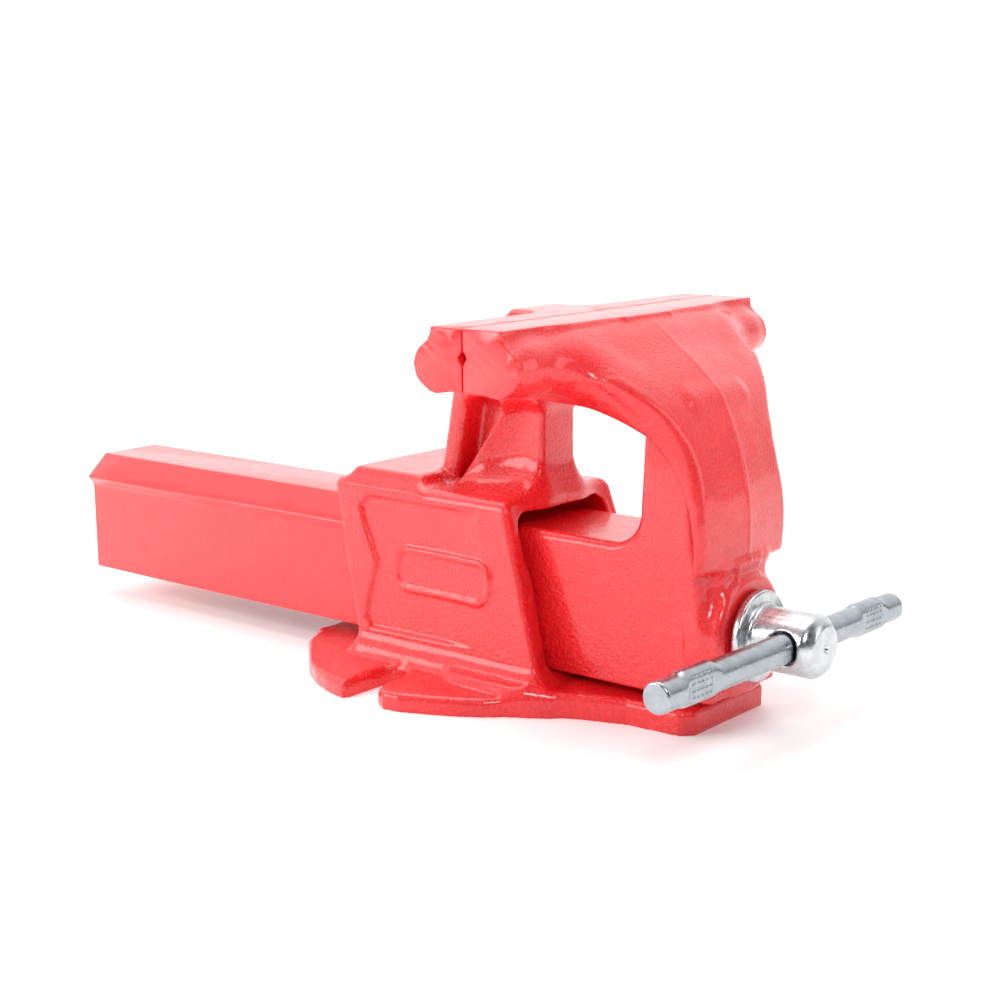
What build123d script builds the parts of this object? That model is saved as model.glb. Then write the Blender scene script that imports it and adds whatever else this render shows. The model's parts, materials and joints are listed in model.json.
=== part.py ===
"""Bench vise with a fixed base, an open C-shaped moving jaw and a long beam slide.

Frame: +X from the beam's tail towards the tommy bar, +Y across the jaws, +Z up.
Origin: on the base's underside, midway between the two bolt slots. Millimetres.
"""

import math
import os

from build123d import *

# ---- driving dimensions -------------------------------------------------------------
JAW_WIDTH = 200.0  # nominal size of the vise: length of the jaws across Y
JAW_TOP_Z = 188.0  # height of the jaws above the bench
JAW_HEIGHT = 28.0  # depth of the gripping faces
SEAM_X = 80.0  # where the closed jaws meet
JAW_GAP = 0.5  # daylight between the closed jaws
OPENING = 200.0  # full travel of the moving jaw

FIXED_JAW_TOP = 18.0  # jaw thickness at its top face
FIXED_JAW_BULGE = 30.0  # jaw thickness at its fullest
MOVING_JAW_TOP = 21.0
MOVING_JAW_BULGE = 32.0
JAW_BULGE_DROP = 16.5  # from the jaw top down to the fullest point
JAW_PAD_HALF = 18.0  # raised centre lands on the outer top edges
FIXED_PAD_REACH = 40.0
MOVING_PAD_REACH = 31.0
GRIP_GROOVE_DEPTH = 2.2
GRIP_GROOVE_HALF = 3.2
GRIP_GROOVE_DROP = 13.0
FACE_NOTCH_COUNT = 5
FACE_NOTCH_HALF = 1.6

BEAM_TAIL_X = -277.0
BEAM_BOTTOM_Z = 16.5
BEAM_TOP_Z = 84.0
BEAM_HALF = 29.0  # flat sides
BEAM_BEVEL = 14.0  # width of each bevel beside the flat top
BEAM_RIDGE_PROUD = 4.0  # how far the edge between bevel and undercut stands out
BEAM_RIDGE_DROP = 12.5
BEAM_UNDERCUT_DROP = 18.0
BEAM_ROOF = 12.0
BOX_LENGTH = 107.0  # plain box at the front of the beam, back from its front face
BOX_EDGE = 5.0
FRONT_WALL = 22.0
FRONT_LEAN = 7.0  # degrees; the front face comes forward as it goes down
FRONT_X = 159.0  # front face at screw height

BOSS_RADIUS = 28.0
BOSS_PROUD = 9.0
BOSS_EDGE = 3.0
SPRUE_HALF = 9.0
SPRUE_HEIGHT = 20.0

ARCH_OUTER_RADIUS = 119.0
ARCH_OUTER_DROP = 96.0  # centre of the outer curve below the jaw top
ARCH_OUTER_X = 166.4  # foremost face of the arch
ARCH_INNER_RADIUS = 69.5
ARCH_INNER_DROP = 103.0  # centre of the inner curve below the jaw top
ARCH_INNER_CENTRE_X = 90.0
ARCH_FOOT_Z = 75.0
ARCH_RIM_HALF = 36.5
ARCH_WEB_HALF = 24.0
WINDOW_X = 122.0  # back edge of the arch's web
WINDOW_CORNER = 14.0

SCREW_Z = 43.7
SCREW_RADIUS = 13.0
SCREW_BEYOND_NUT = 0.0  # screw past the nut's far end with the jaws wide open
FLANGE_LIP = 6.6  # flange's reach beyond the head
FLANGE_THICKNESS = 4.5
HEAD_SHOULDER = 1.8  # head's reach beyond the thread
HEAD_LENGTH = 34.0
HEAD_CHAMFER = 3.6
CENTRE_DRILL_RADIUS = 2.0

BAR_RADIUS = 7.0
BAR_NEAR_END = 112.0  # from the screw axis, towards -Y
BAR_FAR_END = 89.5  # from the screw axis, towards +Y
BAR_TILT = 1.15  # degrees; the -Y end stands higher
BAR_HOLE_CLEARANCE = 0.7
BAR_END_CHAMFER = 1.0
SWAGE_SWELL = 1.6
SWAGE_LENGTH = 24.0
SWAGE_SETBACK = 14.0  # from the bar's end to the swage
SWAGE_TAPER = 3.0

COLLAR_WALL = 6.0
COLLAR_LENGTH = 16.0
COLLAR_ROOM = 1.0  # between the collar and the sides of the slide's hollow
WASHER_THICKNESS = 3.0
PIN_RADIUS = 3.0

NUT_LENGTH = 50.0
NUT_CENTRE_X = 5.0
NUT_WALL = 3.5
NUT_EDGE = 2.0
BOLT_RADIUS = 5.0
BOLT_SPACING = 28.0
BOLT_HEAD_ACROSS = 16.0
BOLT_HEAD_HEIGHT = 6.4
BOLT_THREAD_IN_NUT = 10.0
BOLT_WASHER_RADIUS = 10.0
BOLT_WASHER_THICKNESS = 2.0
BOLT_POCKET_RADIUS = 11.5
BOLT_POCKET_DEPTH = 9.0

HOUSING_ROOF = 14.0
HOUSING_WALL = 9.0  # beside the slide's ridges
HOUSING_DRAFT = 7.0  # each side's spread from top to foot
HOUSING_TAIL_X = -60.0  # rear top edge
HOUSING_NOSE_X = 56.0  # front top edge
HOUSING_LEAN = 15.5  # degrees; both ends lean towards the tail as they rise
HOUSING_EDGE = 4.0
MOUTH_ROOM = 4.0  # around the slide's ridges
MOUTH_HEADROOM = 7.5
MOUTH_DEPTH = 40.0
MOUTH_CORNER = 8.0
ANVIL_LENGTH = 52.0
ANVIL_INSET = 4.0
ANVIL_PROUD = 6.0

COLUMN_NOSE_X = 56.0
COLUMN_TAIL_X = -4.0
COLUMN_HEAD_TAIL_X = 8.0
COLUMN_NOSE_HALF = 14.5
COLUMN_FLANGE_HALF = 20.0
COLUMN_FLANGE = 10.0
COLUMN_WEB_HALF = 9.0
COLUMN_NOSE_TOP = 22.0  # length of the nose block under the jaw
COLUMN_NOSE_FOOT = 44.0  # and at its foot
COLUMN_FOOT_RADIUS = 10.0

PLATE_THICKNESS = 9.0
PLATE_TAIL_X = -90.0
PLATE_TAIL_HALF = 26.0
PLATE_HALF = 89.5  # to the tips of the ears
TONGUE_X = 157.0
TONGUE_LIP = 5.5  # beyond the slide's sides
TONGUE_THICKNESS = 12.0
TONGUE_CORNER = 6.0
SLOT_HALF = 8.25
SLOT_DEPTH = 24.5  # from the ear's tip to the centre of the slot's round end
WASHER_SEAT_RADIUS = 15.0
SKIRT_REACH = 11.0  # foot of the housing's flared skirt, out from its side
SKIRT_RISE = 15.0

SLIDE_CLEARANCE = 0.3
RUNNING_CLEARANCE = 0.06
BOLT_CLEARANCE = 0.5
WASHER_PLAY = 0.3


# ---- values worked out from them ----------------------------------------------------
BEAM_RIDGE_HALF = BEAM_HALF + BEAM_RIDGE_PROUD
BEAM_CROWN_HALF = BEAM_RIDGE_HALF - BEAM_BEVEL
HOUSING_TOP_Z = BEAM_TOP_Z + HOUSING_ROOF
HOUSING_TOP_HALF = BEAM_RIDGE_HALF + HOUSING_WALL
HOUSING_FOOT_HALF = HOUSING_TOP_HALF + HOUSING_DRAFT
MOUTH_HALF = BEAM_RIDGE_HALF + MOUTH_ROOM
MOUTH_TOP_Z = BEAM_TOP_Z + MOUTH_HEADROOM
ANVIL_HALF = HOUSING_TOP_HALF - ANVIL_INSET
TONGUE_HALF = BEAM_HALF + TONGUE_LIP
SLOT_ROOT_Y = PLATE_HALF - SLOT_DEPTH
HEAD_RADIUS = SCREW_RADIUS + HEAD_SHOULDER
FLANGE_RADIUS = HEAD_RADIUS + FLANGE_LIP
SWAGE_RADIUS = BAR_RADIUS + SWAGE_SWELL
COLLAR_RADIUS = SCREW_RADIUS + COLLAR_WALL
WASHER_RADIUS = COLLAR_RADIUS - 0.5
BEAM_HOLLOW_HALF = COLLAR_RADIUS + COLLAR_ROOM
NUT_HALF = SCREW_RADIUS + NUT_WALL
SCREW_TAIL_X = NUT_CENTRE_X - NUT_LENGTH / 2 - OPENING - SCREW_BEYOND_NUT
JAW_BOTTOM_Z = JAW_TOP_Z - JAW_HEIGHT
ARCH_OUTER_CENTRE_Z = JAW_TOP_Z - ARCH_OUTER_DROP
ARCH_INNER_CENTRE_Z = JAW_TOP_Z - ARCH_INNER_DROP
FIXED_FACE_X = SEAM_X - JAW_GAP / 2
MOVING_FACE_X = SEAM_X + JAW_GAP / 2
FLOOR_Z = BEAM_BOTTOM_Z - SLIDE_CLEARANCE
HOLLOW_TOP_Z = BEAM_TOP_Z - BEAM_ROOF
WALL_BACK_X = FRONT_X - FRONT_WALL
BOSS_FACE_X = FRONT_X + BOSS_PROUD
FLANGE_FACE_X = BOSS_FACE_X + WASHER_PLAY
HEAD_START_X = FLANGE_FACE_X + FLANGE_THICKNESS
BAR_X = HEAD_START_X + HEAD_LENGTH / 2
BAR_HOLE_RADIUS = BAR_RADIUS + BAR_HOLE_CLEARANCE
SCREW_BORE_RADIUS = SCREW_RADIUS + RUNNING_CLEARANCE
COLLAR_X = WALL_BACK_X - 2 * WASHER_PLAY - WASHER_THICKNESS - COLLAR_LENGTH
LEAN = math.tan(math.radians(HOUSING_LEAN))
BOLT_XS = [NUT_CENTRE_X - BOLT_SPACING / 2, NUT_CENTRE_X + BOLT_SPACING / 2]


# ---- helpers ------------------------------------------------------------------------
def across(profile, half_width):
    """An X-Z profile given its width evenly either side of the centre plane."""
    return extrude(Plane.XZ * profile, amount=half_width, both=True)


def along(section, x_start, x_end):
    """A Y-Z section run from x_start to x_end."""
    return extrude(Plane.YZ.offset(x_start) * section, amount=x_end - x_start)


def rod(x_start, x_end, radius, z=SCREW_Z):
    """A round bar along X at height z."""
    return along(Pos(0, z) * Circle(radius), x_start, x_end)


def post(x, y, z_start, z_end, radius):
    """A round bar along Z."""
    return Pos(x, y, (z_start + z_end) / 2) * Cylinder(radius, z_end - z_start)


def block(x_start, x_end, half_width, z_start, z_end):
    """A box centred on the centre plane."""
    size = (x_end - x_start, 2 * half_width, z_end - z_start)
    return Pos((x_start + x_end) / 2, 0, (z_start + z_end) / 2) * Box(*size)


def outline(*points):
    """A straight-sided face."""
    return make_face(Polyline(*points, close=True))


def jaw_profile(face_x, outward, top, bulge):
    """X-Z section of a jaw: flat face, flat top, and a back that swells out and tucks in."""
    bulge_z = JAW_TOP_Z - JAW_BULGE_DROP
    shoulder = (face_x + outward * top, JAW_TOP_Z)
    fullest = (face_x + outward * bulge, bulge_z)
    heel = (face_x + outward * (bulge - (bulge_z - JAW_BOTTOM_Z)), JAW_BOTTOM_Z)
    waist = (face_x + outward * (top + 2.5), JAW_TOP_Z - 4.5)
    swell = ThreePointArc(
        waist, (face_x + outward * (bulge - 3.0), bulge_z + 6.5), fullest
    )
    tuck = ThreePointArc(
        fullest, (face_x + outward * (bulge - 3.2), bulge_z - 8.0), heel
    )
    return make_face(
        Curve()
        + Polyline((face_x, JAW_BOTTOM_Z), (face_x, JAW_TOP_Z), shoulder, waist)
        + swell
        + tuck
        + Line(heel, (face_x, JAW_BOTTOM_Z))
    )


def grip_notches(face_x, outward):
    """Shallow upright V notches across a gripping face, spread evenly along the jaw."""
    pitch = JAW_WIDTH / (FACE_NOTCH_COUNT + 1)
    notch = outline(
        (face_x - outward, -FACE_NOTCH_HALF * 1.6),
        (face_x + outward * FACE_NOTCH_HALF, 0),
        (face_x - outward, FACE_NOTCH_HALF * 1.6),
    )
    cutter = Pos(0, 0, JAW_BOTTOM_Z - 1) * extrude(notch, amount=JAW_HEIGHT + 2)
    first = -(FACE_NOTCH_COUNT - 1) / 2
    return [Pos(0, (first + i) * pitch, 0) * cutter for i in range(FACE_NOTCH_COUNT)]


def grip_groove(face_x, outward):
    """The V groove along a gripping face that holds round work level."""
    z = JAW_TOP_Z - GRIP_GROOVE_DROP
    flare = GRIP_GROOVE_HALF * (1 + 1 / GRIP_GROOVE_DEPTH)
    groove = outline(
        (face_x - outward, z - flare),
        (face_x + outward * GRIP_GROOVE_DEPTH, z),
        (face_x - outward, z + flare),
    )
    return across(groove, JAW_WIDTH / 2 + 1)


def beam_section(clearance=0.0):
    """Y-Z section of the slide, grown by a clearance for the guide that it runs in."""
    ridge_z = BEAM_TOP_Z - BEAM_RIDGE_DROP
    under_z = BEAM_TOP_Z - BEAM_UNDERCUT_DROP
    right = [
        (BEAM_HALF + clearance, BEAM_BOTTOM_Z - clearance),
        (BEAM_HALF + clearance, under_z - clearance / 2),
        (BEAM_RIDGE_HALF + clearance, ridge_z),
        (BEAM_CROWN_HALF + clearance, BEAM_TOP_Z + clearance),
    ]
    left = [(-y, z) for y, z in reversed(right)]
    return outline(*right, *left)


# ---- the fixed body -----------------------------------------------------------------
def base_plate():
    """Flat base with two slotted ears and a tongue that runs forward under the slide."""
    ear_tip = (-SLOT_HALF - 4.0, -PLATE_HALF)
    slot_lip = (SLOT_HALF, -PLATE_HALF + 6.0)
    prong_tip = (SLOT_HALF + 12.0, -PLATE_HALF)
    tail_corner = (PLATE_TAIL_X, -PLATE_TAIL_HALF)
    rear_shoulder = (PLATE_TAIL_X + 6.0, -PLATE_TAIL_HALF - 12.0)
    waist = (84.0, -54.0)
    tongue_root = (122.0, -TONGUE_HALF)
    near_edge = (
        Curve()
        + Polyline((PLATE_TAIL_X, 0), tail_corner, rear_shoulder)
        + ThreePointArc(rear_shoulder, (-54.0, -68.0), ear_tip)
        + Polyline(ear_tip, (-SLOT_HALF, -PLATE_HALF + 2.0), slot_lip)
        + ThreePointArc(slot_lip, (SLOT_HALF + 3.5, -PLATE_HALF + 1.2), prong_tip)
        + ThreePointArc(prong_tip, (56.0, -74.0), waist)
        + ThreePointArc(waist, (100.0, -42.0), tongue_root)
        + Polyline(
            tongue_root,
            (TONGUE_X - TONGUE_CORNER, -TONGUE_HALF),
            (TONGUE_X, -TONGUE_HALF + TONGUE_CORNER),
            (TONGUE_X, 0),
        )
    )
    near_half = make_face(near_edge + Line((TONGUE_X, 0), (PLATE_TAIL_X, 0)))
    return extrude(near_half + mirror(near_half, about=Plane.XZ), PLATE_THICKNESS)


def tongue():
    """The thicker strip of the base in front of the housing."""
    strip = block(HOUSING_NOSE_X, TONGUE_X, TONGUE_HALF, 0, TONGUE_THICKNESS)
    corners = strip.edges().filter_by(Axis.Z).group_by(Axis.X)[-1]
    return chamfer(corners, TONGUE_CORNER)


def housing():
    """The hollow casting that guides the slide: leaning ends and sides with draft."""
    section = outline(
        (-HOUSING_FOOT_HALF, 0),
        (HOUSING_FOOT_HALF, 0),
        (HOUSING_TOP_HALF, HOUSING_TOP_Z),
        (-HOUSING_TOP_HALF, HOUSING_TOP_Z),
    )
    foot_shift = HOUSING_TOP_Z * LEAN
    side = outline(
        (HOUSING_TAIL_X + foot_shift, 0),
        (HOUSING_NOSE_X + foot_shift, 0),
        (HOUSING_NOSE_X, HOUSING_TOP_Z),
        (HOUSING_TAIL_X, HOUSING_TOP_Z),
    )
    run = along(section, HOUSING_TAIL_X - 1, HOUSING_NOSE_X + foot_shift + 1)
    shell = run & across(side, HOUSING_FOOT_HALF + 1)
    top_sides = shell.faces().sort_by(Axis.Z)[-1].edges().sort_by(Axis.Y)
    return fillet([top_sides[0], top_sides[-1]], HOUSING_EDGE)


def skirt():
    """The flare that carries the housing's sides down into the ears."""
    foot = HOUSING_FOOT_HALF + SKIRT_REACH
    section = outline(
        (-foot, 0),
        (foot, 0),
        (foot, PLATE_THICKNESS),
        (HOUSING_FOOT_HALF - 1.0, PLATE_THICKNESS + SKIRT_RISE),
        (-HOUSING_FOOT_HALF + 1.0, PLATE_THICKNESS + SKIRT_RISE),
        (-foot, PLATE_THICKNESS),
    )
    foot_shift = HOUSING_TOP_Z * LEAN
    start = HOUSING_TAIL_X + foot_shift
    end = HOUSING_NOSE_X + foot_shift - SKIRT_REACH
    return along(section, start, end)


def column():
    """The post under the fixed jaw: a rear flange, a web and a solid nose."""
    foot_z = HOUSING_TOP_Z - COLUMN_FOOT_RADIUS
    top_z = JAW_TOP_Z - JAW_BULGE_DROP
    side = outline(
        (COLUMN_TAIL_X - 4.0, foot_z),
        (COLUMN_NOSE_X, foot_z),
        (COLUMN_NOSE_X, top_z),
        (COLUMN_HEAD_TAIL_X, top_z),
        (COLUMN_TAIL_X, JAW_BOTTOM_Z - 12.0),
    )
    flange = outline(
        (COLUMN_TAIL_X - 4.0, foot_z),
        (COLUMN_TAIL_X - 4.0 + COLUMN_FLANGE, foot_z),
        (COLUMN_TAIL_X + COLUMN_FLANGE, JAW_BOTTOM_Z - 12.0),
        (COLUMN_HEAD_TAIL_X + COLUMN_FLANGE, top_z),
        (COLUMN_HEAD_TAIL_X, top_z),
        (COLUMN_TAIL_X, JAW_BOTTOM_Z - 12.0),
    )
    nose = outline(
        (COLUMN_NOSE_X - COLUMN_NOSE_FOOT, foot_z),
        (COLUMN_NOSE_X, foot_z),
        (COLUMN_NOSE_X, top_z),
        (COLUMN_NOSE_X - COLUMN_NOSE_TOP, top_z),
    )
    return (
        across(side, COLUMN_WEB_HALF)
        + across(flange, COLUMN_FLANGE_HALF)
        + across(nose, COLUMN_NOSE_HALF)
    )


def column_foot():
    """The sloping root where the column spreads into the top of the housing."""
    reach = COLUMN_FOOT_RADIUS
    low = block(
        COLUMN_TAIL_X - 6.0,
        COLUMN_NOSE_X,
        COLUMN_FLANGE_HALF + reach,
        HOUSING_TOP_Z - reach,
        HOUSING_TOP_Z + reach,
    )
    upper_sides = low.edges().filter_by(Axis.X).group_by(Axis.Z)[-1]
    return chamfer(upper_sides, reach - 0.5)


def column_head():
    """Spreads the column out under the fixed jaw."""
    pad = outline(
        (FIXED_FACE_X - FIXED_PAD_REACH, JAW_TOP_Z),
        (FIXED_FACE_X - FIXED_JAW_TOP, JAW_TOP_Z),
        (FIXED_FACE_X - FIXED_JAW_TOP, JAW_BOTTOM_Z),
        (COLUMN_HEAD_TAIL_X + COLUMN_FLANGE, JAW_BOTTOM_Z - 4.0),
        (COLUMN_HEAD_TAIL_X, JAW_BOTTOM_Z),
        (COLUMN_HEAD_TAIL_X + 6.0, JAW_BOTTOM_Z + 12.0),
    )
    brace = outline(
        (COLUMN_NOSE_X - COLUMN_NOSE_TOP, JAW_BOTTOM_Z - 16.0),
        (COLUMN_NOSE_X, JAW_BOTTOM_Z - 16.0),
        (FIXED_FACE_X, JAW_BOTTOM_Z - 2.0),
        (FIXED_FACE_X, JAW_BOTTOM_Z + 4.0),
        (COLUMN_NOSE_X - COLUMN_NOSE_TOP, JAW_BOTTOM_Z + 4.0),
    )
    return across(pad, JAW_PAD_HALF) + across(brace, COLUMN_NOSE_HALF)


def fixed_jaw():
    """The jaw cast in one with the column."""
    profile = jaw_profile(FIXED_FACE_X, -1, FIXED_JAW_TOP, FIXED_JAW_BULGE)
    jaw = across(profile, JAW_WIDTH / 2)
    for cutter in grip_notches(FIXED_FACE_X, -1):
        jaw -= cutter
    return jaw - grip_groove(FIXED_FACE_X, -1)


def guide_space():
    """What is cut from the housing: the guide for the slide and its wider mouth."""
    reach = HOUSING_TOP_Z * LEAN
    guide = along(
        beam_section(SLIDE_CLEARANCE), HOUSING_TAIL_X - 10, HOUSING_NOSE_X + reach + 30
    )
    mouth_height = MOUTH_TOP_Z - FLOOR_Z
    mouth_section = Pos(0, FLOOR_Z + mouth_height / 2) * Rectangle(
        2 * MOUTH_HALF, mouth_height
    )
    corners = mouth_section.vertices().group_by(Axis.Y)[-1]
    mouth_section = fillet(corners, MOUTH_CORNER)
    mouth = along(mouth_section, HOUSING_NOSE_X - MOUTH_DEPTH, HOUSING_NOSE_X + reach + 30)
    return guide + mouth


def bolt_slot(side):
    """Cutter for one open bolt slot, with a flat seat for the bolt's washer let into the skirt."""
    root_y = side * SLOT_ROOT_Y
    root = post(0, root_y, -1, PLATE_THICKNESS + 1, SLOT_HALF)
    length = SLOT_DEPTH + 1
    run = Box(2 * SLOT_HALF, length, PLATE_THICKNESS + 2)
    run = Pos(0, root_y + side * length / 2, PLATE_THICKNESS / 2) * run
    seat = post(0, root_y, PLATE_THICKNESS, PLATE_THICKNESS + SKIRT_RISE, WASHER_SEAT_RADIUS)
    return root + run + seat


def fixed_body():
    """Base, housing, column and fixed jaw: one casting."""
    anvil = block(
        HOUSING_TAIL_X,
        HOUSING_TAIL_X + ANVIL_LENGTH,
        ANVIL_HALF,
        HOUSING_TOP_Z - 2.0,
        HOUSING_TOP_Z + ANVIL_PROUD,
    )
    lower = base_plate() + tongue() + housing() + skirt()
    lower -= guide_space()
    upper = column() + column_foot() + column_head() + fixed_jaw() + anvil
    upper -= block(HOUSING_TAIL_X - 1, SEAM_X, MOUTH_HALF, 0, MOUTH_TOP_Z)
    body = lower + upper
    for x in BOLT_XS:
        body -= post(x, 0, -1, BOLT_POCKET_DEPTH, BOLT_POCKET_RADIUS)
        body -= post(x, 0, 0, FLOOR_Z + 1, BOLT_RADIUS + BOLT_CLEARANCE)
    return body - bolt_slot(-1) - bolt_slot(1)


# ---- the moving jaw -----------------------------------------------------------------
def slide_beam():
    """The slide, hollow and open underneath, with bevelled guide edges along its top."""
    box_tail = FRONT_X - BOX_LENGTH
    return along(beam_section(), BEAM_TAIL_X, box_tail + 10.0)


def front_box():
    """The plain-sided box at the front of the slide, closed by the screw's thrust wall."""
    lean = math.tan(math.radians(FRONT_LEAN))
    side = outline(
        (FRONT_X - BOX_LENGTH, BEAM_BOTTOM_Z),
        (FRONT_X + (SCREW_Z - BEAM_BOTTOM_Z) * lean, BEAM_BOTTOM_Z),
        (FRONT_X - (BEAM_TOP_Z - SCREW_Z) * lean, BEAM_TOP_Z),
        (FRONT_X - BOX_LENGTH, BEAM_TOP_Z),
    )
    box = across(side, BEAM_HALF)
    upright = box.faces().sort_by(Axis.X)[-1].edges().filter_by(Axis.Y, reverse=True)
    return fillet(upright, BOX_EDGE)


def arch_outer_x(z):
    """Front of the arch at height z."""
    centre_x = ARCH_OUTER_X - ARCH_OUTER_RADIUS
    rise = max(z - ARCH_OUTER_CENTRE_Z, 0.0)
    return centre_x + math.sqrt(ARCH_OUTER_RADIUS**2 - rise**2)


def arch_inner_x(z):
    """Underside of the arch's rim at height z."""
    rise = max(z - ARCH_INNER_CENTRE_Z, 0.0)
    return ARCH_INNER_CENTRE_X + math.sqrt(ARCH_INNER_RADIUS**2 - rise**2)


def arch_rim():
    """The broad band that curves from the jaw down to the front of the box."""
    inner_top = (MOVING_FACE_X + 12.0, ARCH_INNER_CENTRE_Z + ARCH_INNER_RADIUS)
    inner_foot = (ARCH_INNER_CENTRE_X + ARCH_INNER_RADIUS, ARCH_INNER_CENTRE_Z)
    inner_mid_z = ARCH_INNER_CENTRE_Z + ARCH_INNER_RADIUS * math.sin(math.radians(45))
    outer_top_z = JAW_TOP_Z - 5.0
    outer_mid_z = (outer_top_z + ARCH_OUTER_CENTRE_Z) / 2
    outer_top = (arch_outer_x(outer_top_z), outer_top_z)
    outer_foot = (ARCH_OUTER_X, ARCH_OUTER_CENTRE_Z)
    inner_arc = ThreePointArc(
        (ARCH_INNER_CENTRE_X, inner_top[1]), (arch_inner_x(inner_mid_z), inner_mid_z), inner_foot
    )
    outer_arc = ThreePointArc(
        outer_foot, (arch_outer_x(outer_mid_z), outer_mid_z), outer_top
    )
    face_low = (MOVING_FACE_X, inner_top[1])
    face_high = (MOVING_FACE_X, outer_top_z)
    profile = make_face(
        Curve()
        + Line(face_low, (ARCH_INNER_CENTRE_X, inner_top[1]))
        + inner_arc
        + Polyline(
            inner_foot,
            (inner_foot[0], ARCH_FOOT_Z),
            (ARCH_OUTER_X, ARCH_FOOT_Z),
            outer_foot,
        )
        + outer_arc
        + Polyline(outer_top, face_high, face_low)
    )
    return across(profile, ARCH_RIM_HALF)


def arch_web():
    """The thick plate inside the arch, from the box up to the rim."""
    foot_z = BEAM_TOP_Z - 10.0
    top_z = ARCH_INNER_CENTRE_Z + ARCH_INNER_RADIUS
    mid_z = (ARCH_OUTER_CENTRE_Z + top_z) / 2
    outer_arc = ThreePointArc(
        (ARCH_OUTER_X - 3.0, ARCH_OUTER_CENTRE_Z),
        (arch_outer_x(mid_z) - 3.0, mid_z),
        (arch_outer_x(top_z) - 3.0, top_z),
    )
    profile = make_face(
        Curve()
        + Polyline(
            (WINDOW_X, top_z),
            (WINDOW_X, BEAM_TOP_Z + WINDOW_CORNER),
            (WINDOW_X - WINDOW_CORNER, BEAM_TOP_Z),
            (WINDOW_X - WINDOW_CORNER, foot_z),
            (FRONT_X - 10.0, foot_z),
            (ARCH_OUTER_X - 3.0, ARCH_FOOT_Z + 2.0),
            (ARCH_OUTER_X - 3.0, ARCH_OUTER_CENTRE_Z),
        )
        + outer_arc
        + Line((arch_outer_x(top_z) - 3.0, top_z), (WINDOW_X, top_z))
    )
    return across(profile, ARCH_WEB_HALF)


def moving_jaw_head():
    """The gripping jaw on the end of the arch, with its raised centre land."""
    profile = jaw_profile(MOVING_FACE_X, 1, MOVING_JAW_TOP, MOVING_JAW_BULGE)
    jaw = across(profile, JAW_WIDTH / 2)
    for cutter in grip_notches(MOVING_FACE_X, 1):
        jaw -= cutter
    land = block(
        MOVING_FACE_X + MOVING_JAW_TOP - 5.0,
        MOVING_FACE_X + MOVING_PAD_REACH,
        JAW_PAD_HALF,
        JAW_TOP_Z - JAW_BULGE_DROP,
        JAW_TOP_Z,
    )
    return jaw + land


def moving_jaw():
    """Slide, front box, arch and jaw: one casting."""
    boss = rod(WALL_BACK_X + 2.0, BOSS_FACE_X, BOSS_RADIUS)
    boss = chamfer(boss.edges().sort_by(Axis.X)[-1], BOSS_EDGE)
    sprue = block(
        FRONT_X - 6.0,
        BOSS_FACE_X - 1.5,
        SPRUE_HALF,
        ARCH_FOOT_Z - SPRUE_HEIGHT + 6.0,
        ARCH_FOOT_Z + 1.0,
    )
    jaw = slide_beam() + front_box() + arch_rim() + arch_web() + moving_jaw_head()
    jaw += boss
    jaw += sprue
    hollow = block(
        BEAM_TAIL_X - 1, WALL_BACK_X, BEAM_HOLLOW_HALF, BEAM_BOTTOM_Z - 1, HOLLOW_TOP_Z
    )
    bore = rod(WALL_BACK_X - 1, BOSS_FACE_X + 1, SCREW_BORE_RADIUS)
    return jaw - hollow - bore


# ---- the screw and what it turns in -------------------------------------------------
def bar_pose():
    """Places things drawn along the bar (local Z, from the -Y end) on the tilted bar axis."""
    return Pos(BAR_X, 0, SCREW_Z) * Rot(-90 - BAR_TILT, 0, 0)


def lead_screw():
    """Threaded screw, drawn plain at its outer diameter, with its flange and head."""
    shank = rod(SCREW_TAIL_X, HEAD_START_X, SCREW_RADIUS)
    shank = chamfer(shank.edges().sort_by(Axis.X)[0], 2.0)
    flange = rod(FLANGE_FACE_X, HEAD_START_X, FLANGE_RADIUS)
    flange = chamfer(flange.edges().filter_by(GeomType.CIRCLE), 0.8)
    head = rod(HEAD_START_X - 1.0, HEAD_START_X + HEAD_LENGTH, HEAD_RADIUS)
    head = chamfer(head.edges().filter_by(GeomType.CIRCLE).sort_by(Axis.X)[-1], HEAD_CHAMFER)
    screw = shank + flange + head
    screw -= bar_pose() * Cylinder(BAR_HOLE_RADIUS, 4 * HEAD_RADIUS)
    screw -= post(COLLAR_X + COLLAR_LENGTH / 2, 0, 0, 2 * SCREW_Z, PIN_RADIUS)
    end_x = HEAD_START_X + HEAD_LENGTH
    screw -= rod(end_x - 2.5, end_x + 1, CENTRE_DRILL_RADIUS)
    return screw


def tommy_bar():
    """The sliding handle: a round bar swaged near each end so that it stays in the head."""
    length = BAR_NEAR_END + BAR_FAR_END
    bar = Cylinder(BAR_RADIUS, length)
    bar = chamfer(bar.edges().filter_by(GeomType.CIRCLE), BAR_END_CHAMFER)
    swage = Cylinder(SWAGE_RADIUS, SWAGE_LENGTH)
    swage = chamfer(
        swage.edges().filter_by(GeomType.CIRCLE), SWAGE_TAPER, SWAGE_RADIUS - BAR_RADIUS - 0.2
    )
    reach = length / 2 - SWAGE_SETBACK - SWAGE_LENGTH / 2
    bar = bar + Pos(0, 0, -reach) * swage + Pos(0, 0, reach) * swage
    return bar_pose() * Pos(0, 0, (BAR_FAR_END - BAR_NEAR_END) / 2) * bar


def retaining_collar():
    """Ring pinned to the screw behind the thrust wall: it pulls the jaw open."""
    ring = rod(COLLAR_X, COLLAR_X + COLLAR_LENGTH, COLLAR_RADIUS)
    ring = chamfer(ring.edges().filter_by(GeomType.CIRCLE), 1.0)
    ring -= rod(COLLAR_X - 1, COLLAR_X + COLLAR_LENGTH + 1, SCREW_RADIUS)
    return ring - post(COLLAR_X + COLLAR_LENGTH / 2, 0, 0, 2 * SCREW_Z, PIN_RADIUS)


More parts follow.
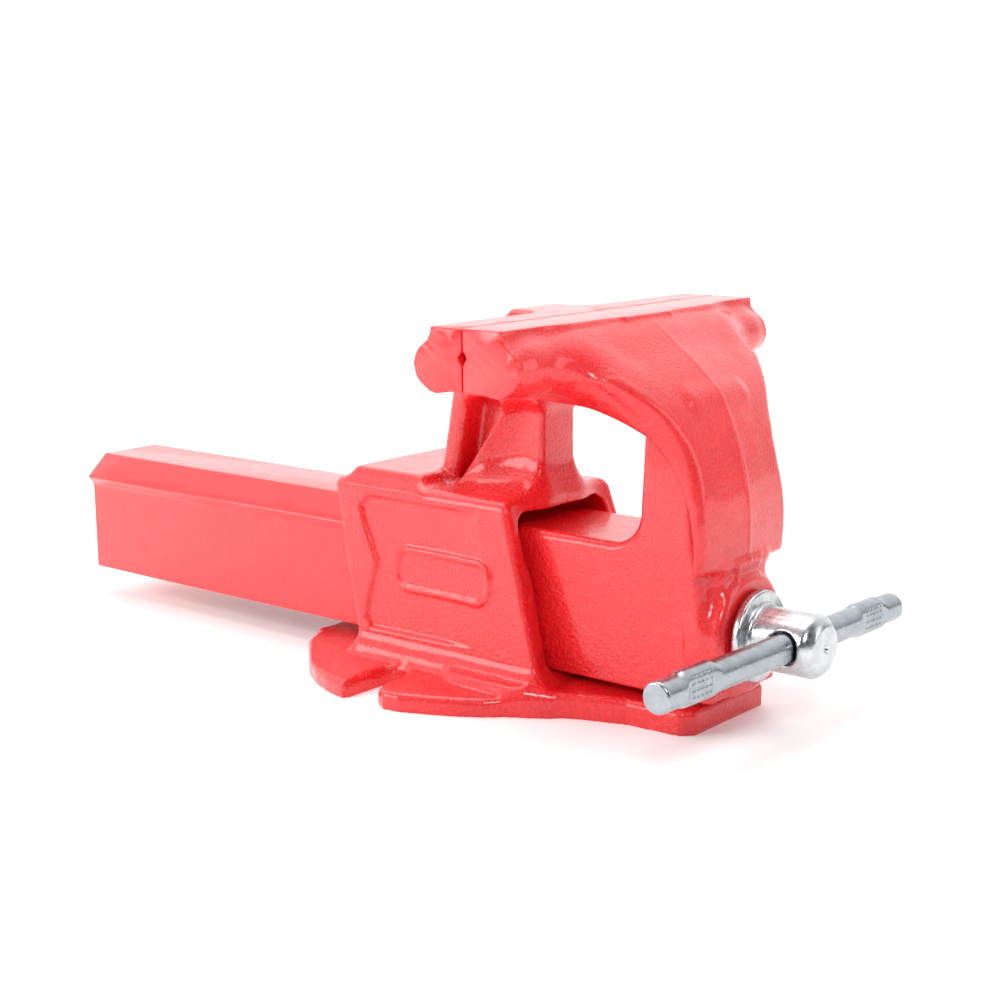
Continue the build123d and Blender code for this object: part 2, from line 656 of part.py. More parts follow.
def retaining_pin():
    """Pin through the collar and the screw."""
    reach = COLLAR_RADIUS - 0.5
    x = COLLAR_X + COLLAR_LENGTH / 2
    pin = post(x, 0, SCREW_Z - reach, SCREW_Z + reach, PIN_RADIUS)
    return chamfer(pin.edges().filter_by(GeomType.CIRCLE), 0.5)


def thrust_washer():
    """Washer between the collar and the back of the thrust wall."""
    start = COLLAR_X + COLLAR_LENGTH + WASHER_PLAY
    ring = rod(start, start + WASHER_THICKNESS, WASHER_RADIUS)
    return ring - rod(start - 1, start + WASHER_THICKNESS + 1, SCREW_BORE_RADIUS)


# ---- the nut and its bolts ----------------------------------------------------------
def lead_nut():
    """Cast nut standing on the guide's floor inside the hollow slide."""
    half_length = NUT_LENGTH / 2
    start, end = NUT_CENTRE_X - half_length, NUT_CENTRE_X + half_length
    foot = block(start, end, NUT_HALF, FLOOR_Z, SCREW_Z)
    crown = rod(start, end, NUT_HALF)
    nut = foot + crown
    nut = chamfer(nut.edges().filter_by(GeomType.CIRCLE), NUT_EDGE)
    nut -= rod(start - 1, end + 1, SCREW_BORE_RADIUS)
    for x in BOLT_XS:
        nut -= post(x, 0, FLOOR_Z - 1, FLOOR_Z + BOLT_THREAD_IN_NUT + 1, BOLT_RADIUS)
    return nut


def nut_bolts():
    """Hexagon-head bolts up through the floor into the nut."""
    head_top = BOLT_POCKET_DEPTH - BOLT_WASHER_THICKNESS
    bolts = []
    for x in BOLT_XS:
        hexagon = RegularPolygon(BOLT_HEAD_ACROSS / 2, 6, major_radius=False)
        head = Pos(x, 0, head_top - BOLT_HEAD_HEIGHT) * extrude(hexagon, BOLT_HEAD_HEIGHT)
        shank = post(x, 0, head_top - 1, FLOOR_Z + BOLT_THREAD_IN_NUT, BOLT_RADIUS)
        bolts.append(head + shank)
    return Compound(children=bolts)


def nut_washers():
    """Washers under the bolt heads."""
    washers = []
    for x in BOLT_XS:
        top = BOLT_POCKET_DEPTH
        low = top - BOLT_WASHER_THICKNESS
        ring = post(x, 0, low, top, BOLT_WASHER_RADIUS)
        washers.append(ring - post(x, 0, low - 1, top + 1, BOLT_RADIUS + BOLT_CLEARANCE))
    return Compound(children=washers)


PARTS = {
    "fixed_body": fixed_body,
    "moving_jaw": moving_jaw,
    "lead_screw": lead_screw,
    "tommy_bar": tommy_bar,
    "retaining_collar": retaining_collar,
    "retaining_pin": retaining_pin,
    "thrust_washer": thrust_washer,
    "lead_nut": lead_nut,
    "nut_bolts": nut_bolts,
    "nut_washers": nut_washers,
}

os.makedirs("parts", exist_ok=True)
for node, build in PARTS.items():
    export_step(build(), f"parts/{node}.step")
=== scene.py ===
import json
import math

import bpy
import numpy as np
import openvdb
from mathutils import Matrix, Vector


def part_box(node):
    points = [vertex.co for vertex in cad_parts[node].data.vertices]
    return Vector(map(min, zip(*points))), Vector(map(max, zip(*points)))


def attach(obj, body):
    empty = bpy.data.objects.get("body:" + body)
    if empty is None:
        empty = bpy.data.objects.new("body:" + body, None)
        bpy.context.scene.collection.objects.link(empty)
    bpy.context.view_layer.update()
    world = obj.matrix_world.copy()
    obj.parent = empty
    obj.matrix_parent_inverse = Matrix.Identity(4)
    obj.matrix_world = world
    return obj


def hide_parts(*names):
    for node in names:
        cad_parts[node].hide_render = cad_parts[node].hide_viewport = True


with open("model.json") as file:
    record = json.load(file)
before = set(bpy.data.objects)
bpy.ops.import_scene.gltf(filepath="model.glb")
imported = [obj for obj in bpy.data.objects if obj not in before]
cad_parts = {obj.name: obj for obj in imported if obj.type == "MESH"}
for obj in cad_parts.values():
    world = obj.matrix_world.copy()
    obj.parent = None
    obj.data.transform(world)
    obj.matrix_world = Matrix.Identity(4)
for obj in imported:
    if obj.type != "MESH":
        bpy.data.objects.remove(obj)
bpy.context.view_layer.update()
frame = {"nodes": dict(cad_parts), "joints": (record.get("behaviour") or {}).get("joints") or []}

# Lengths are in millimetres, and METRE turns them into metres where a mesh or a light is made.
METRE = 0.001


def node_box(name):
    """Lowest and highest corner of a CAD node, in millimetres."""
    low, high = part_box(name)
    return np.array(low) / METRE, np.array(high) / METRE


fixed_low, fixed_high = node_box("fixed_body")
slide_low, slide_high = node_box("moving_jaw")
screw_low, screw_high = node_box("lead_screw")
bar_low, bar_high = node_box("tommy_bar")
joints = {joint["name"]: joint for joint in frame["joints"]}
seat_x, _, SCREW_Z = (value / METRE for value in joints["screw_turn"]["pos_m"])
bar_axis = joints["bar_slide"]["axis"]

# ---------------------------------------------------------------- sizes of the castings
JAW_TOP = fixed_high[2]
JAW_HALF = fixed_high[1]
FIXED_FACE = 79.75  # gripping faces
MOVING_FACE = 80.25
FIXED_JAW_TOP = 18.5  # thickness of each jaw at its flat top
MOVING_JAW_TOP = 22.0
BEAD_RADIUS = 10.6  # round bead along the jaw's lower outer edge
BEAD_DROP = 17.4  # bead's centre below the top
BEAD_INSET = 0.8  # bead's centre inside the edge of the flat top
BEAD_COVE = 5.0
JAW_UNDER_EDGE = 3.0
JAW_DROP = 28.5  # underside of the jaw below the top
GRIP_GROOVE_DROP = 13.0
GRIP_GROOVE_DEPTH = 2.3
NOTCH_PITCH = 33.0
NOTCH_HALF = 1.5

BEAM_TAIL = slide_low[0]
BEAM_BOTTOM = slide_low[2]
BEAM_TOP = 84.0
BEAM_HALF = 29.0
# The outlines of symmetric parts are half outlines, closed well beyond the middle plane.
BEYOND = -60.0
BEAM_OUTLINE = (  # (|y|, z)
    (BEYOND, BEAM_TOP),
    (19, BEAM_TOP),
    (33, 71.5),
    (BEAM_HALF, 66),
    (BEAM_HALF, BEAM_BOTTOM),
    (BEYOND, BEAM_BOTTOM),
)
HOLLOW_HALF = 20.0
HOLLOW_TOP = 72.0
HOLLOW_END = 137.0
BOX_START = 52.0
BOX_FRONT = 159.4  # front face of the box at FRONT_Z
FRONT_Z = 55.0
FRONT_SLOPE = 0.129
WINDOW_X = 123.0
WINDOW_CORNER = 15.0
ARCH_TOP = 156.0
ARCH_CENTRE = (47.4, 92.0)
ARCH_RADIUS = 119.0
ARCH_CROWN = 2.6  # how far the front falls back from its middle ridge to its edges
PARTING_LINE = 0.4  # height of the casting's parting line along that ridge
BROW_START = 102.5  # where the slope from the jaw's flat top begins
BROW_EDGE = 12.0
RIM_CENTRE = (76.7, 83.0)
RIM_RADIUS = 82.3
RIM_CEILING = 154.5
RIM_CEILING_CORNER = 20.0
RIM_HALF = 36.5
RIM_FLARE_START = 115.0
RIM_FLARE_RISE = 50.0
RIM_FLARE = 0.011
RIM_FOOT = 76.0
LAND_HALF = 19.0  # raised land in the middle of the moving jaw's top
LAND_DEPTH = 29.0
LAND_HEIGHT = 7.0
JAW_TO_ARCH_COVE = 16.0
BOSS_RADIUS = 28.0
BOSS_FACE = seat_x
BOSS_ROOT = 153.0  # where boss, neck and pad begin inside the front wall
PAD_HALF = 9.5
PAD_BOTTOM = 61.0
PAD_SET_BACK = 2.2
NECK_HALF = 20.0
NECK_MIDDLE = 70.0
NECK_HALF_HEIGHT = 10.0
NECK_FRONT = 163.5
SCREW_BORE = 13.3

HOUSING_TOP = 98.0
HOUSING_HALF = 42.0
HOUSING_DRAFT = 0.084
HOUSING_NOSE = 56.0
HOUSING_TAIL = -60.0
NOSE_LEAN = 0.313
TAIL_LEAN = 0.268
MOUTH_TOP = 91.5
ANVIL_TOP = 104.0
ANVIL_HALF = 36.0
ANVIL_TAIL = -49.0
ANVIL_NOSE = -4.0
ANVIL_SLOPE = 0.7
COLUMN_NOSE = 56.0
COLUMN_NOSE_HALF = 14.4
COLUMN_FLANGE_HALF = 20.0
COLUMN_WEB_HALF = 6.0
COLUMN_BACK = 2.5  # back of the flange at COLUMN_BACK_Z
COLUMN_BACK_Z = 144.0
COLUMN_BACK_LEAN = 0.19
COLUMN_FLANGE_THICKNESS = 11.0
PLATE_TOP = 9.0
TONGUE_TOP = 12.0
SLIDE_CLEARANCE = 0.35
SLIDE_FLOOR = BEAM_BOTTOM - 0.3
MOUTH_HALF = 35.0
MOUTH_BACK = 16.0
BOLT_XS = (-9.0, 19.0)
BOLT_POCKET = (11.5, 9.0)  # radius and depth under the base
BOLT_HOLE = 5.5

# ---------------------------------------------------------------- solids as signed distances
# A solid is a function of x, y and z that gives the distance to its surface, below zero inside.
# Two solids meet in a fillet or a rounded edge of radius r, as cast parts do.
GRID_BLOCK = 8
SHARP_EDGE = math.radians(38)
GRID_STEP = 0.8


def joined(a, b, r):
    """Both solids, with a fillet of radius r where they meet."""
    if not np.any(r):
        return np.minimum(a, b)
    return np.maximum(np.minimum(a, b), r) - np.hypot(
        np.maximum(r - a, 0), np.maximum(r - b, 0)
    )


def common(a, b, r):
    """What the solids share, with edges rounded to radius r."""
    if not np.any(r):
        return np.maximum(a, b)
    return np.minimum(np.maximum(a, b), -r) + np.hypot(
        np.maximum(r + a, 0), np.maximum(r + b, 0)
    )


def without(a, b, r=0):
    """The first solid less the second, with the cut's edges rounded to radius r."""
    return common(a, -b, r)


def polygon(u, v, corners):
    """Distance to a closed outline in the plane of u and v."""
    shape = np.broadcast(u, v).shape
    square = np.full(shape, 1e9, np.float32)
    sign = np.ones(shape, np.float32)
    for (u0, v0), (u1, v1) in zip(corners, corners[-1:] + corners[:-1]):
        eu, ev = u1 - u0, v1 - v0
        wu, wv = u - u0, v - v0
        t = np.clip((wu * eu + wv * ev) / (eu * eu + ev * ev), 0, 1)
        square = np.minimum(square, (wu - eu * t) ** 2 + (wv - ev * t) ** 2)
        above, below, left = v >= v0, v < v1, eu * wv > ev * wu
        crossed = (above & below & left) | (~above & ~below & ~left)
        sign = np.where(crossed, -sign, sign)
    return sign * np.sqrt(square)


def capsule_chain(x, y, z, stations):
    """Distance to a round rope through (x, y, z, radius) stations."""
    best = None
    for (x0, y0, z0, r0), (x1, y1, z1, r1) in zip(stations, stations[1:]):
        e = np.array((x1 - x0, y1 - y0, z1 - z0))
        wx, wy, wz = x - x0, y - y0, z - z0
        t = np.clip((wx * e[0] + wy * e[1] + wz * e[2]) / (e @ e), 0, 1)
        reach = np.sqrt((wx - e[0] * t) ** 2 + (wy - e[1] * t) ** 2 + (wz - e[2] * t) ** 2)
        d = reach - (r0 + (r1 - r0) * t)
        best = d if best is None else np.minimum(best, d)
    return best


def ramp(value, start, end):
    """Smooth step from 0 at start to 1 at end."""
    t = np.clip((value - start) / (end - start), 0, 1)
    return t * t * (3 - 2 * t)


def make_waves(seed, count, shortest, longest):
    """Random plane waves, as wave vectors and phases, for an uneven surface."""
    rng = np.random.default_rng(seed)
    directions = rng.normal(size=(count, 3))
    directions /= np.linalg.norm(directions, axis=1)[:, None]
    lengths = rng.uniform(shortest, longest, count)
    return directions * (2 * math.pi / lengths)[:, None], rng.uniform(0, 6.28, count)


SKIN_WAVES = make_waves(seed=4, count=7, shortest=7.0, longest=16.0)


def cast_skin(x, y, z):
    """Slow unevenness of a sand-cast surface, about 0.25 mm high."""
    total = 0
    for (kx, ky, kz), phase in zip(*SKIN_WAVES):
        total = total + np.sin((kx * x + phase) + ky * y + kz * z)
    return total * np.float32(0.018)


def sculpt(name, solid, low, high, step, faces):
    """Mesh object of a solid inside the box low..high, reduced to about so many triangles."""
    reach = GRID_BLOCK * step
    low, high = np.array(low, float) - 2 * step, np.array(high, float) + 2 * step
    counts = np.ceil((high - low) / reach).astype(int)
    middle = [low[i] + reach * (np.arange(counts[i]) + 0.5) for i in range(3)]
    coarse = solid(*open_grid(middle))
    coarse = np.broadcast_to(coarse, counts)
    far = 3 * step
    dense = np.where(coarse < 0, -far, far).astype(np.float32)
    for axis in range(3):
        dense = dense.repeat(GRID_BLOCK, axis)
    blocks = np.argwhere(np.abs(coarse) < 1.5 * reach)
    offsets = np.arange(GRID_BLOCK, dtype=np.float32) * step
    inner = np.arange(GRID_BLOCK)
    for part in np.array_split(blocks, max(1, len(blocks) // 400)):
        starts = low + part * reach
        x = (starts[:, 0, None] + offsets)[:, :, None, None].astype(np.float32)
        y = (starts[:, 1, None] + offsets)[:, None, :, None].astype(np.float32)
        z = (starts[:, 2, None] + offsets)[:, None, None, :].astype(np.float32)
        values = np.clip(solid(x, y, z), -far, far)
        i, j, k = ((part[:, axis, None] * GRID_BLOCK) + inner for axis in range(3))
        dense[i[:, :, None, None], j[:, None, :, None], k[:, None, None, :]] = values
    grid = openvdb.FloatGrid(far)
    grid.copyFromArray(dense)
    points, quads = grid.convertToQuads(0.0)
    mesh = bpy.data.meshes.new(name)
    mesh.from_pydata([], [], [])
    mesh.vertices.add(len(points))
    mesh.vertices.foreach_set("co", ((low + points * step) * METRE).astype(np.float32).ravel())
    mesh.loops.add(len(quads) * 4)
    mesh.loops.foreach_set("vertex_index", quads.astype(np.int32).ravel())
    mesh.polygons.add(len(quads))
    mesh.polygons.foreach_set("loop_start", np.arange(0, len(quads) * 4, 4, dtype=np.int32))
    mesh.update(calc_edges=True)
    mesh.validate()
    obj = bpy.data.objects.new(name, mesh)
    bpy.context.scene.collection.objects.link(obj)
    if 2 * len(quads) > faces:
        reduce = obj.modifiers.new("reduce", "DECIMATE")
        reduce.ratio = faces / (2 * len(quads))
        depsgraph = bpy.context.evaluated_depsgraph_get()
        reduced = bpy.data.meshes.new_from_object(obj.evaluated_get(depsgraph))
        obj.modifiers.clear()
        obj.data = reduced
        reduced.name = name
    obj.data.shade_smooth()
    obj.data.set_sharp_from_angle(angle=SHARP_EDGE)
    return obj


def open_grid(axes):
    """Three arrays that broadcast to a full grid."""
    x, y, z = (np.asarray(axis, np.float32) for axis in axes)
    return x[:, None, None], y[None, :, None], z[None, None, :]


# ---------------------------------------------------------------- the jaws' gripping bars


def jaw_bar(depth, z, top_depth):
    """Either jaw, with depth measured back from its gripping face: a flat bar over a round bead."""
    bar = common(depth - top_depth, JAW_TOP - JAW_DROP - z, JAW_UNDER_EDGE)
    bead = np.hypot(depth - top_depth + BEAD_INSET, z - (JAW_TOP - BEAD_DROP)) - BEAD_RADIUS
    return joined(bar, bead, BEAD_COVE)


def jaw_grip(depth, y, z):
    """What is cut into a gripping face: a level groove and upright notches."""
    groove = (depth - GRIP_GROOVE_DEPTH + 0.75 * np.abs(z - (JAW_TOP - GRIP_GROOVE_DROP))) * 0.8
    offset = np.abs(y - NOTCH_PITCH * np.clip(np.round(y / NOTCH_PITCH), -2, 2))
    notch = (depth - NOTCH_HALF + offset) * 0.7
    grip = common(np.minimum(groove, notch), -depth - 5, 0)
    return common(grip, JAW_TOP - JAW_DROP - 1 - z, 0)


def machined(casting, depth, a, z):
    """A jaw's flat machined planes: gripping face, top and ends."""
    casting = common(casting, z - JAW_TOP, 0)
    casting = common(casting, a - JAW_HALF, 0)
    return np.where(z > JAW_TOP - JAW_DROP - 8, common(casting, -depth, 0), casting)


# ---------------------------------------------------------------- moving jaw casting
# The jaw's bead bends down into the arch's rolled edge: (x, |y|, z, radius).
ARCH_BEAD = (
    (101.5, 85, 170.6, BEAD_RADIUS),
    (103.0, 72, 170.2, 10.5),
    (107.0, 60, 168.5, 10.0),
    (115.0, 50, 164.5, 9.5),
    (124.0, 42, 157.0, 8.5),
    (132.0, 36, 149.0, 7.0),
)


def arch_front(x, a, z):
    """Front of the arch: a wide curve ridged down its middle, met by a slope at the jaw."""
    crown = ARCH_CROWN * a / RIM_HALF + PARTING_LINE * ramp(a, 0.2, 1.2)
    curve = np.hypot(x - ARCH_CENTRE[0], z - ARCH_CENTRE[1]) - (ARCH_RADIUS - crown)
    brow = (x - BROW_START) * 0.447 + (z - JAW_TOP) * 0.894 + 0.5 * crown
    return common(curve, brow, BROW_EDGE)


def arch(x, a, z):
    """Broad rim of the arch, from the jaw down to its foot over the screw."""
    half = RIM_HALF + RIM_FLARE * np.clip(z - RIM_FLARE_START, 0, RIM_FLARE_RISE) ** 2
    rim = common(arch_front(x, a, z), (a - half) * 0.9, 3.5 + 5.5 * ramp(z, 95, 150))
    round_void = np.hypot(x - RIM_CENTRE[0], z - RIM_CENTRE[1]) - RIM_RADIUS
    rim = without(rim, common(round_void, z - RIM_CEILING, RIM_CEILING_CORNER), 1.2)
    rim = common(rim, MOVING_FACE + 6 - x, 0)
    return common(rim, RIM_FOOT - z - 0.04 * (x - 160), 2.5)


def box_and_web(x, a, z):
    """Box at the front of the slide and the web that rises from it inside the arch."""
    outline = joined(z - BEAM_TOP, WINDOW_X - x, WINDOW_CORNER)
    outline = common(outline, z - ARCH_TOP, 0)
    front = (x - BOX_FRONT + FRONT_SLOPE * (z - FRONT_Z)) * 0.99
    outline = common(outline, front, 4)
    side = a - BEAM_HALF + 0.075 * np.maximum(z - BEAM_TOP, 0)
    plate = common(outline, side, 4.5)
    plate = common(plate, BEAM_BOTTOM - z, 1.5)
    return common(plate, BOX_START - x, 0)


def screw_boss(x, y, z):
    """Round boss that the screw's flange seats on, the ground pad above it and the neck behind."""
    boss = common(np.hypot(y, z - SCREW_Z) - BOSS_RADIUS, x - BOSS_FACE, 3.5)
    boss = common(boss, BEAM_BOTTOM - z, 1)
    pad = common(np.abs(y) - PAD_HALF, PAD_BOTTOM - z, 5)
    pad = common(pad, x - BOSS_FACE + PAD_SET_BACK, 0.8)
    pad = common(pad, z - RIM_FOOT - 2, 0)
    neck = common(np.abs(y) - NECK_HALF, np.abs(z - NECK_MIDDLE) - NECK_HALF_HEIGHT, 4)
    neck = common(neck, x - NECK_FRONT, 3)
    return common(joined(joined(boss, neck, 5), pad, 1), BOSS_ROOT - x, 0)


def slide_beam(x, a, z):
    """Machined slide behind the box, with bevelled guide edges."""
    section = polygon(a, z, BEAM_OUTLINE)
    return common(common(section, BEAM_TAIL - x, 0.6), x - BOX_START - 0.5, 0)


def moving_casting(x, y, z):
    """Moving jaw, arch, box and slide: one casting."""
    a = np.abs(y)
    depth = x - MOVING_FACE
    bar = jaw_bar(depth, z, MOVING_JAW_TOP)
    land = common(common(depth - LAND_DEPTH, a - LAND_HALF, 1), JAW_TOP - LAND_HEIGHT - z, 2)
    head = joined(joined(bar, arch(x, a, z), JAW_TO_ARCH_COVE), land, 2)
    head = joined(head, capsule_chain(x, a, z, ARCH_BEAD), 7)
    head = head + cast_skin(x, y, z)
    head = machined(head, depth, a, z)
    head = without(head, jaw_grip(depth, y, z))
    lower = joined(box_and_web(x, a, z), screw_boss(x, y, z), 5)
    lower = lower + cast_skin(x, y, z) * np.float32(0.6)
    casting = joined(head, lower, 5)
    casting = joined(casting, slide_beam(x, a, z), 0)
    hollow = common(common(a - HOLLOW_HALF, z - HOLLOW_TOP, 6), x - HOLLOW_END, 3)
    casting = without(casting, hollow, 1)
    bore = np.hypot(y, z - SCREW_Z) - SCREW_BORE
    casting = without(casting, bore, 0.6)
    casting = common(casting, BEAM_BOTTOM - z, 0)
    return common(casting, x - BOSS_FACE + 0.02, 0)


# ---------------------------------------------------------------- fixed casting
PLATE_OUTLINE = (  # (x, |y|)
    (-90, BEYOND),
    (-89, 28),
    (-84, 33),
    (-78, 45),
    (-65, 58),
    (-51, 71),
    (-38, 79.5),
    (-26, 85),
    (-16, 88),
    (-9.5, 89.2),
    (-7.5, 87.5),
    (9, 82),
    (11, 85.5),
    (17.5, 89),
    (26, 88),
    (40, 82.2),
    (54, 75.3),
    (64, 69),
    (71, 62.7),
    (85.7, 51.2),
    (99.8, 44),
    (122.5, 36),
    (150, 34.3),
    (fixed_high[0] - 4, 33),
    (fixed_high[0], 28),
    (fixed_high[0], BEYOND),
)
SLOT_HALF = 8.25
SLOT_ROOT = 65.0
PANEL_OUTLINE = (  # sunk panel on the housing's side, (x, z)
    (-29, 23),
    (-34, 29),
    (-32, 41),
    (-28, 58),
    (-37.5, 76),
    (-41, 86),
    (-34, 92),
    (38, 91.5),
    (56, 24),
)
PANEL_DEPTH = 1.9
BADGE_CENTRE = (17.0, 57.0)  # blank raised badge on the panel, (x, z)
BADGE_REACH = (33.0, 12.0)
BADGE_CORNER = 10.0
BADGE_HEIGHT = 1.3
BADGE_SUNK_MIDDLE = 0.9


def housing(x, y, z):
    """Leaning, drafted housing round the slide, with its anvil and the sunk panels."""
    a = np.abs(y)
    drop = HOUSING_TOP - z
    side = (a - HOUSING_HALF - HOUSING_DRAFT * drop) * 0.996
    dish = 0.1 + 0.0052 * np.maximum(drop, 0)
    nose = (x - HOUSING_NOSE - NOSE_LEAN * drop - dish * side) * 0.93
    tail = (HOUSING_TAIL + TAIL_LEAN * drop - x) * 0.966
    block = common(common(side, -drop, 5), nose, 4)
    block = common(block, tail, 4)
    anvil_side = (a - ANVIL_HALF + ANVIL_SLOPE * (z - ANVIL_TOP)) * 0.82
    anvil_tail = (ANVIL_TAIL - x + ANVIL_SLOPE * (z - ANVIL_TOP)) * 0.82
    anvil_nose = (x - ANVIL_NOSE + ANVIL_SLOPE * (z - ANVIL_TOP)) * 0.82
    anvil = common(common(anvil_side, anvil_tail, 3), anvil_nose, 3)
    anvil = common(common(anvil, z - ANVIL_TOP, 1.2), HOUSING_TOP - 2 - z, 0)
    block = joined(block, anvil, 3)
    panel = polygon(x, z, PANEL_OUTLINE)
    fade = 1 - ramp(x, 15, 50)
    sunk = PANEL_DEPTH * fade * (1 - ramp(panel, -2.4, 0.4))
    badge_x = np.abs(x - BADGE_CENTRE[0]) - BADGE_REACH[0]
    badge_z = np.abs(z - BADGE_CENTRE[1]) - BADGE_REACH[1]
    badge = common(common(badge_x, badge_z, BADGE_CORNER), -side - 9, 0)
    raised = BADGE_HEIGHT * (1 - ramp(badge, -1.6, 0.4))
    raised = raised - BADGE_SUNK_MIDDLE * (1 - ramp(badge, -4.4, -2.8))
    return block + np.where(side > -6, sunk - raised, 0)


def base(x, y, z):
    """Foot plate with slotted ears, tongue and skirt, and the slot that is cut from it."""
    a = np.abs(y)
    outline = polygon(x, a, PLATE_OUTLINE)
    top = PLATE_TOP + (TONGUE_TOP - PLATE_TOP) * ramp(x, 62, 92) + 1.2 * ramp(-outline, 3, 30)
    plate = common(outline, (z - top) * 0.97, 3.5)
    slot = np.where(a > SLOT_ROOT, np.abs(x), np.hypot(x, a - SLOT_ROOT)) - SLOT_HALF
    skirt_half = 53.0 + 6.5 * ramp(x, 24, 36) - 5 * ramp(x, 68, 88)
    skirt = common((a - skirt_half) * 0.98, z - 14, 3)
    skirt = common(skirt, -44 - x + 0.3 * z, 4)
    skirt = common(skirt, x - 84 + 0.3 * z, 4)
    plate = joined(plate, skirt, 4)
    return plate, slot


COLUMN_HEAD_HALF = 21.0
COLUMN_HEAD_OUTLINE = (  # (x, z)
    (79, JAW_TOP),
    (41, JAW_TOP),
    (36, 184),
    (27, 176),
    (16, 163),
    (8.5, 150),
    (12, 143),
    (56, 143),
    (57, 156),
    (62, 160),
    (79, 161),
)


def column(x, y, z):
    """Column between housing and fixed jaw: a flanged back, a thin web and a scooped nose."""
    a = np.abs(y)
    back_x = COLUMN_BACK - COLUMN_BACK_LEAN * (COLUMN_BACK_Z - z)
    half_thickness = COLUMN_FLANGE_THICKNESS / 2
    flange = np.abs(x - back_x - half_thickness) - half_thickness
    flange = common(flange, a - COLUMN_FLANGE_HALF, 4)
    web = common(a - COLUMN_WEB_HALF, np.abs(x - 28) - 26, 0)
    ridge_x = 18 + 0.72 * (z - 115)
    along = np.clip((COLUMN_NOSE - x) / np.maximum(COLUMN_NOSE - ridge_x, 8), 0, 1.2)
    half = COLUMN_NOSE_HALF - 3.2 * np.sin(np.clip(along, 0, 1) * math.pi) + 4.5 * along**2
    nose = common((a - half) * 0.9, x - COLUMN_NOSE, 4)
    nose = common(nose, (ridge_x - x) * 0.81, 1.8)
    stem = joined(joined(flange, web, 3), nose, 3)
    return common(stem, z - 168, 0)


def column_head(x, y, z):
    """Where the column spreads into the fixed jaw, up to the top centre land."""
    a = np.abs(y)
    return common(polygon(x, z, COLUMN_HEAD_OUTLINE), a - COLUMN_HEAD_HALF, 5)


def fixed_casting(x, y, z):
    """Base, housing, column and fixed jaw: one casting."""
    a = np.abs(y)
    depth = FIXED_FACE - x
    plate, slot = base(x, y, z)
    body = joined(plate, common(housing(x, y, z), 3 - z, 0), 9)
    stem = column(x, y, z)
    body = joined(body, common(stem, 90 - z, 0), 5 + 15 * ramp(x, 4, 24))
    bar = jaw_bar(depth, z, FIXED_JAW_TOP)
    head = joined(bar, column_head(x, y, z), 9)
    body = joined(body, head, 8)
    body = body + cast_skin(x, y, z)
    mouth = common(a - MOUTH_HALF, z - MOUTH_TOP, 8)
    mouth = common(mouth, a - 31.2 - 3.8 * ramp(z, 60, 70), 0)
    mouth = common(common(mouth, MOUTH_BACK - x, 3), SLIDE_FLOOR - z, 0)
    guide = polygon(a, z, BEAM_OUTLINE) - SLIDE_CLEARANCE
    guide = common(guide, SLIDE_FLOOR - z, 0)
    body = without(body, mouth, 1.6)
    body = without(body, guide, 0.5)
    body = without(body, slot, 2.8)
    body = machined(body, depth, a, z)
    body = without(body, jaw_grip(depth, y, z))
    for bolt_x in BOLT_XS:
        from_bolt = np.hypot(x - bolt_x, y)
        pocket = common(from_bolt - BOLT_POCKET[0], z - BOLT_POCKET[1], 0)
        body = without(body, pocket, 0.5)
        body = without(body, common(from_bolt - BOLT_HOLE, z - 20, 0), 0)
    body = common(body, x - fixed_high[0], 0)
    body = common(body, fixed_low[0] - x, 0)
    return common(body, -z, 0)


# ---------------------------------------------------------------- screw and tommy bar
THREAD_PITCH = 5.0
THREAD_RADIUS = 13.0
THREAD_DEPTH = 2.4
HEAD_RADIUS = 14.8
FLANGE_RADIUS = 21.4
FLANGE_END = 173.8
FLANGE_HALF_THICKNESS = 2.2
HEAD_BEVEL = 4.2
BAR_X = 191.9
BAR_RADIUS = 7.0
BAR_HOLE = 7.9
BAR_NEAR_END = 112.0  # from the screw's axis
BAR_FAR_END = 89.5
GRID_PITCH = 3.1  # pattern that the die presses into the bar
GRID_DEPTH = 0.55


def bar_frame(y, z):
    """Distance along the tommy bar from the screw's axis, and height across the bar."""
    along = y * bar_axis[1] + (z - SCREW_Z) * bar_axis[2]
    up = (z - SCREW_Z) * bar_axis[1] - y * bar_axis[2]
    return along, up


def screw(x, y, z):
    """Lead screw with its thread, flange and cross-drilled head."""
    radius = np.hypot(y, z - SCREW_Z)
    turn = np.arctan2(z - SCREW_Z, y) / (2 * math.pi)
    phase = np.abs(((x / THREAD_PITCH - turn) % 1.0) - 0.5) * 2
    tooth = np.clip(phase * 1.8 - 0.4, 0, 1)
    shank = radius - THREAD_RADIUS + THREAD_DEPTH * tooth * (1 - ramp(x, 96, 99))
    shank = common(shank * 0.85, x - 172, 0)
    shank = common(shank, screw_low[0] - x, 1)
    flange_x = np.abs(x - (BOSS_FACE + FLANGE_END) / 2 - 0.8) - FLANGE_HALF_THICKNESS
    flange = common(radius - FLANGE_RADIUS, flange_x, 1.1)
    head = common(radius - HEAD_RADIUS, x - screw_high[0], 0)
    bevel = (radius - HEAD_RADIUS + (x - screw_high[0] + HEAD_BEVEL)) * 0.707
    head = common(common(head, bevel, 1.2), 168 - x, 0)
    head = joined(head, flange, 2.2)
    centre_mark = (radius - 2.2 + (screw_high[0] - x)) * 0.707
    head = without(head, centre_mark)
    _, up = bar_frame(y, z)
    hole = np.hypot(x - BAR_X, up) - BAR_HOLE
    head = without(head, hole, 0.8)
    return joined(shank, head, 1)


